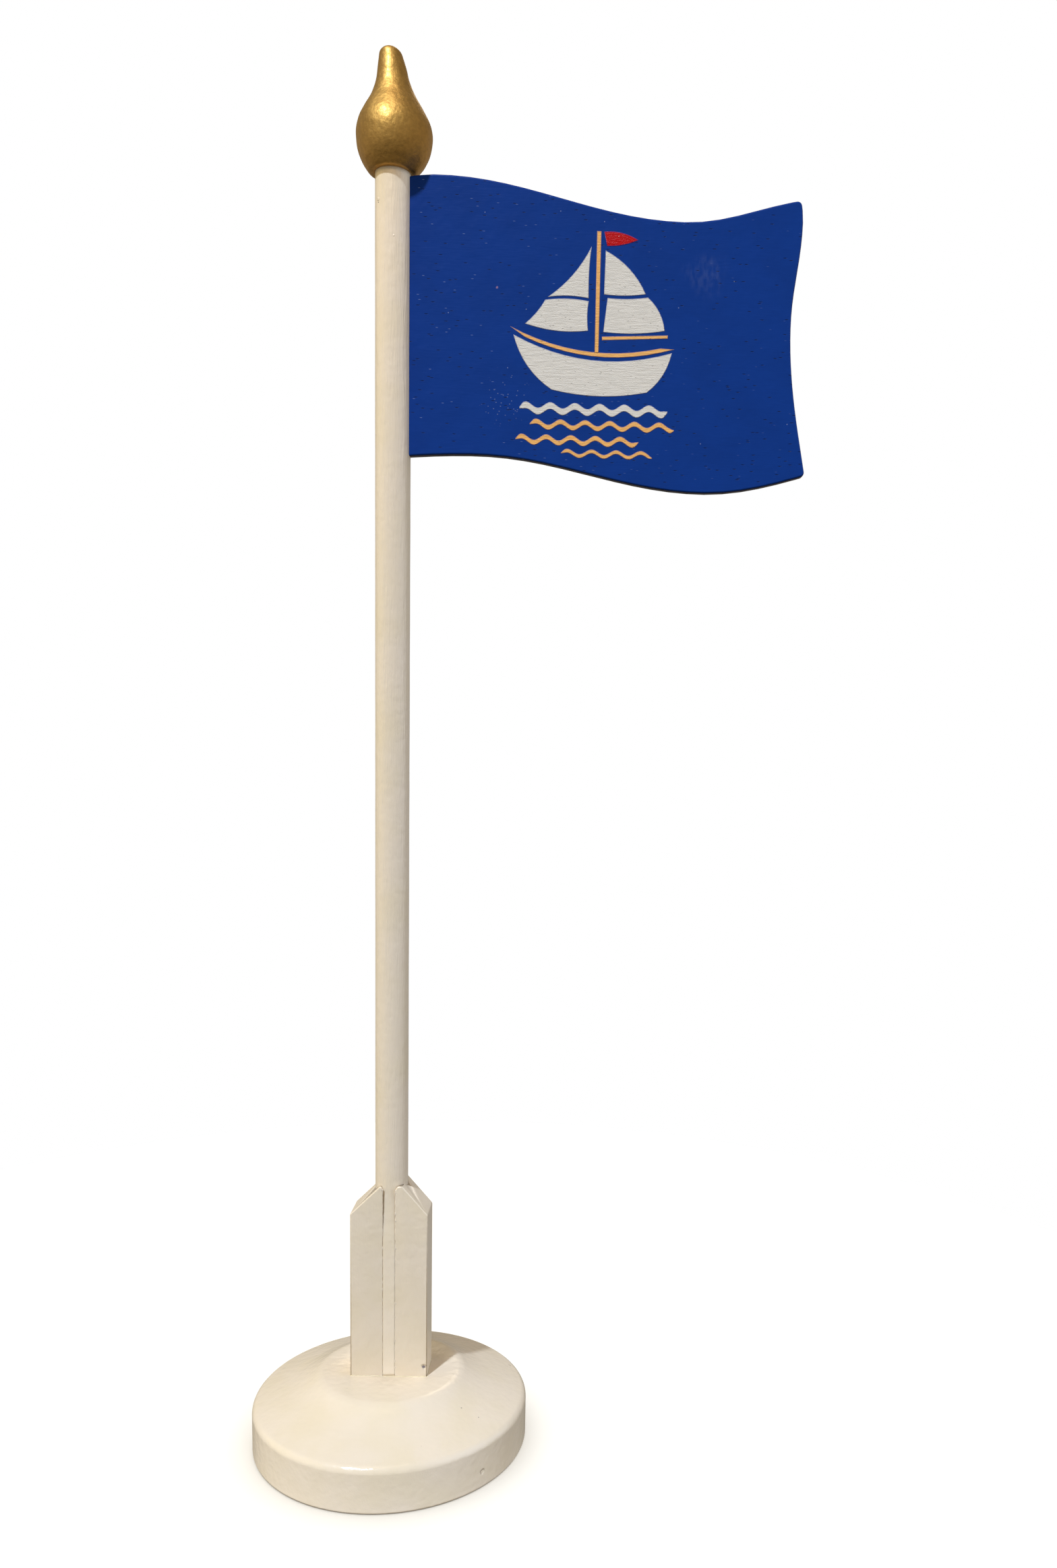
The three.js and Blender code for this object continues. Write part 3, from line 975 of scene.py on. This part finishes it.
def through(keys, steps):
    """A Catmull-Rom curve through the keys, in `steps` steps from each to the next."""
    padded = [keys[0], *keys, keys[-1]]
    line = []
    for at in range(1, len(keys)):
        before, start, end, after = (Vector(padded[at + shift]) for shift in (-1, 0, 1, 2))
        for step in range(steps):
            t = step / steps
            point = start * 2 + (end - before) * t
            point += (before * 2 - start * 5 + end * 4 - after) * t ** 2
            point += (start * 3 - before - end * 3 + after) * t ** 3
            line.append(point / 2)
    return line + [Vector(keys[-1])]


class TABLEFLAG_OT_finial(bpy.types.Operator):
    """Build the turned, gold-painted finial"""

    bl_idname = "table_flag.finial"
    bl_label = "Finial"

    def execute(self, context):
        size = settings().finial
        # Dents to the metre, large and small.
        coarse, fine = 160, 420
        height = FINIAL_HIGH.z - FINIAL_LOW.z
        bore = POLE_RADIUS + HIDDEN_GAP
        side = [(radius * MM, rise * MM) for rise, radius in through(FINIAL_KEYS, 6)]
        bore_top = POLE_HIGH.z - FINIAL_LOW.z
        bm = turned([(0, bore_top), (bore, bore_top), (bore, 0), *side, (0, height)], 96)
        for vertex in bm.verts:
            rise = vertex.co.z
            across = Vector((vertex.co.x, vertex.co.y, 0))
            if across.length > bore * 1.01 or rise > bore_top * 1.01:
                vertex.co.x += size.offset - size.bend * (rise - size.bend_start) ** 2
                lump = noise.noise(vertex.co * coarse) + 0.5 * noise.noise(vertex.co * fine)
                vertex.co += across.normalized() * size.dents * lump
        bmesh.ops.translate(bm, verts=bm.verts, vec=(0, 0, FINIAL_LOW.z))
        piece = new_object(bm, "finial_painted", [bronze_gold()])
        stand_for(piece, "gold_paint", "finial")
        return {"FINISHED"}


# ---- Stage -----------------------------------------------------------------------------


def add_camera():
    """A camera at about the middle of the stand's height, close in front and to its right."""
    place_mm = (57.4, -362.7, 216.4)
    yaw, pitch, roll = -0.0222, 0.136, 0.026
    data = bpy.data.cameras.new("camera")
    data.sensor_width = 36
    data.lens = 27.873
    data.shift_x = -0.0520
    data.shift_y = 0.0866
    data.clip_start = 10 * MM
    camera = bpy.data.objects.new("camera", data)
    bpy.context.scene.collection.objects.link(camera)
    forward = Vector((-math.sin(yaw) * math.cos(pitch), math.cos(yaw) * math.cos(pitch), -math.sin(pitch)))
    right = Vector((math.cos(yaw), math.sin(yaw), 0))
    up = right.cross(forward)
    turned_right = math.cos(roll) * right + math.sin(roll) * up
    turned_up = math.cos(roll) * up - math.sin(roll) * right
    turn = Matrix((turned_right, turned_up, -forward)).transposed()
    camera.matrix_world = Matrix.Translation(Vector(place_mm) * MM) @ turn.to_4x4()
    bpy.context.scene.camera = camera


def add_sun(name, azimuth, elevation, strength, width, tint, state, *pieces):
    """A sun, its angles in degrees from the front and the floor; see `include_only` for `state`."""
    data = bpy.data.lights.new(name, "SUN")
    data.energy = strength
    data.angle = math.radians(width)
    data.color = srgb(tint)
    lamp = bpy.data.objects.new(name, data)
    lamp.rotation_euler = (math.radians(90 - elevation), 0, math.radians(azimuth))
    bpy.context.scene.collection.objects.link(lamp)
    include_only(lamp, pieces, state)


def include_only(lamp, pieces, state):
    """Lets a lamp light only the pieces (INCLUDE), or all but them (EXCLUDE)."""
    group = bpy.data.collections.new(lamp.name + "_receivers")
    for piece in pieces:
        group.objects.link(piece)
    for member in group.collection_objects:
        member.light_linking.link_state = state
    lamp.light_linking.receiver_collection = group


def add_lamp(size, pole):
    """A small warm lamp high up near the pole, which fades towards the foot."""
    data = bpy.data.lights.new("lamp_light", "POINT")
    data.energy = size.lamp_power
    data.shadow_soft_size = 30 * MM
    data.color = srgb("#FFDAAA")
    lamp = bpy.data.objects.new("lamp_light", data)
    lamp.location = Vector((-20, -150, 90)) * MM + Vector((0, 0, POLE_HIGH.z))
    bpy.context.scene.collection.objects.link(lamp)
    include_only(lamp, [pole], "INCLUDE")


def add_room(size):
    """Light from all round, graded from below to above, where the camera sees plain white."""
    world = bpy.data.worlds.new("room")
    bpy.context.scene.world = world
    world.use_nodes = True
    tree = world.node_tree
    tree.nodes.clear()
    source = add_node(tree, "ShaderNodeTexCoord")
    height = add_node(tree, "ShaderNodeSeparateXYZ", {"Vector": source.outputs["Generated"]}).outputs["Z"]
    share = add_node(tree, "ShaderNodeMath", {0: height, 1: 0.5, 2: 0.5}, operation="MULTIPLY_ADD")
    grade = add_node(tree, "ShaderNodeValToRGB", {"Fac": share.outputs[0]})
    stops = grade.color_ramp.elements
    stops[0].color = opaque(size.room_low)
    stops[1].color = opaque(size.room_top)
    stops.new(0.5).color = opaque(size.room_middle)
    room = add_node(
        tree, "ShaderNodeBackground", {"Color": grade.outputs["Color"], "Strength": size.room_strength}
    )
    white = add_node(tree, "ShaderNodeBackground", {"Color": (1, 1, 1, 1), "Strength": 1.0})
    seen = add_node(tree, "ShaderNodeLightPath").outputs["Is Camera Ray"]
    mixed = add_node(tree, "ShaderNodeMixShader", {0: seen, 1: room.outputs[0], 2: white.outputs[0]})
    add_node(tree, "ShaderNodeOutputWorld", {"Surface": mixed.outputs[0]})


def add_floor(size):
    """The pale floor, which throws no light on the stand: the bounce light does that."""
    bm = bmesh.new()
    bmesh.ops.create_circle(bm, cap_ends=True, segments=128, radius=size.floor_radius)
    material, tree = new_material("pale_floor")
    finish_material(tree, opaque(srgb("#F7F7F5")), 0.9)
    floor = new_object(bm, "floor", [material])
    floor.visible_diffuse = False
    floor.visible_glossy = False
    return floor


def add_bounce(size):
    """A round lamp on the floor, wider than the base, for the light that a table throws back."""
    above_floor = 0.2 * MM
    data = bpy.data.lights.new("bounce_light", "AREA")
    data.shape = "DISK"
    data.size = 2 * (BASE_RADIUS + size.bounce_width)
    data.energy = size.bounce_strength * math.pi * math.pi * data.size ** 2 / 4
    lamp = bpy.data.objects.new("bounce_light", data)
    lamp.rotation_euler = (math.pi, 0, 0)
    lamp.location.z = above_floor
    lamp.visible_glossy = False
    bpy.context.scene.collection.objects.link(lamp)


class TABLEFLAG_OT_stage(bpy.types.Operator):
    """Build the camera, the pale floor, the lights and the room"""

    bl_idname = "table_flag.stage"
    bl_label = "Stage"

    def execute(self, context):
        size = settings().stage
        add_camera()
        floor = add_floor(size)
        add_bounce(size)
        add_room(size)
        finial = bpy.data.objects["finial_painted"]
        add_sun("key_light", -27, 50, size.key_strength, 3.5, "#E3EFFF", "EXCLUDE", floor)
        add_sun("over_light", -10, 75, size.over_strength, 25, "#FFD9AB", "EXCLUDE", floor)
        add_sun("back_light", 180, 40, size.back_strength, 20, "#FFE9C8", "EXCLUDE", floor)
        add_sun("left_light", -80, 20, size.left_strength, 60, "#FFE288", "EXCLUDE", floor, finial)
        add_sun("right_light", 80, 20, size.right_strength, 60, "#E1ECFF", "EXCLUDE", floor, finial)
        add_lamp(size, bpy.data.objects["pole_painted"])
        add_sun("floor_light", 0, 90, size.floor_strength, 120, "#FFFFFF", "INCLUDE", floor)
        context.scene.view_settings.view_transform = "Standard"
        return {"FINISHED"}


# ---- Panel and registration ------------------------------------------------------------

OPERATORS = (
    TABLEFLAG_OT_base,
    TABLEFLAG_OT_pole,
    TABLEFLAG_OT_cheeks,
    TABLEFLAG_OT_beads,
    TABLEFLAG_OT_flag,
    TABLEFLAG_OT_print,
    TABLEFLAG_OT_finial,
    TABLEFLAG_OT_stage,
)


class TABLEFLAG_PT_panel(bpy.types.Panel):
    """Lists the pieces and their settings"""

    bl_idname = "TABLEFLAG_PT_panel"
    bl_label = "Table flag"
    bl_space_type = "VIEW_3D"
    bl_region_type = "UI"
    bl_category = "Table flag"

    def draw(self, context):
        for operator in OPERATORS:
            self.layout.operator(operator.bl_idname)
        groups = context.scene.table_flag
        for group in ("base", "pole", "cheek", "flag", "finial", "paint", "stage"):
            box = self.layout.box()
            box.label(text=group.capitalize())
            values = getattr(groups, group)
            for name in values.bl_rna.properties.keys():
                if name not in ("rna_type", "name"):
                    box.prop(values, name)


CLASSES = (
    BaseSettings, PoleSettings, CheekSettings, FlagSettings, FinialSettings, PaintSettings, StageSettings,
    TableFlagSettings, *OPERATORS, TABLEFLAG_PT_panel,
)


def register():
    """Registers the classes and adds the settings to the scene."""
    for item in CLASSES:
        bpy.utils.register_class(item)
    bpy.types.Scene.table_flag = PointerProperty(type=TableFlagSettings)


def unregister():
    """Takes the settings and the classes away again."""
    del bpy.types.Scene.table_flag
    for item in reversed(CLASSES):
        bpy.utils.unregister_class(item)


def main():
    """Builds every piece and the stage."""
    register()
    for operator in OPERATORS:
        group, action = operator.bl_idname.split(".")
        getattr(getattr(bpy.ops, group), action)()


if __name__ == "__main__":
    main()
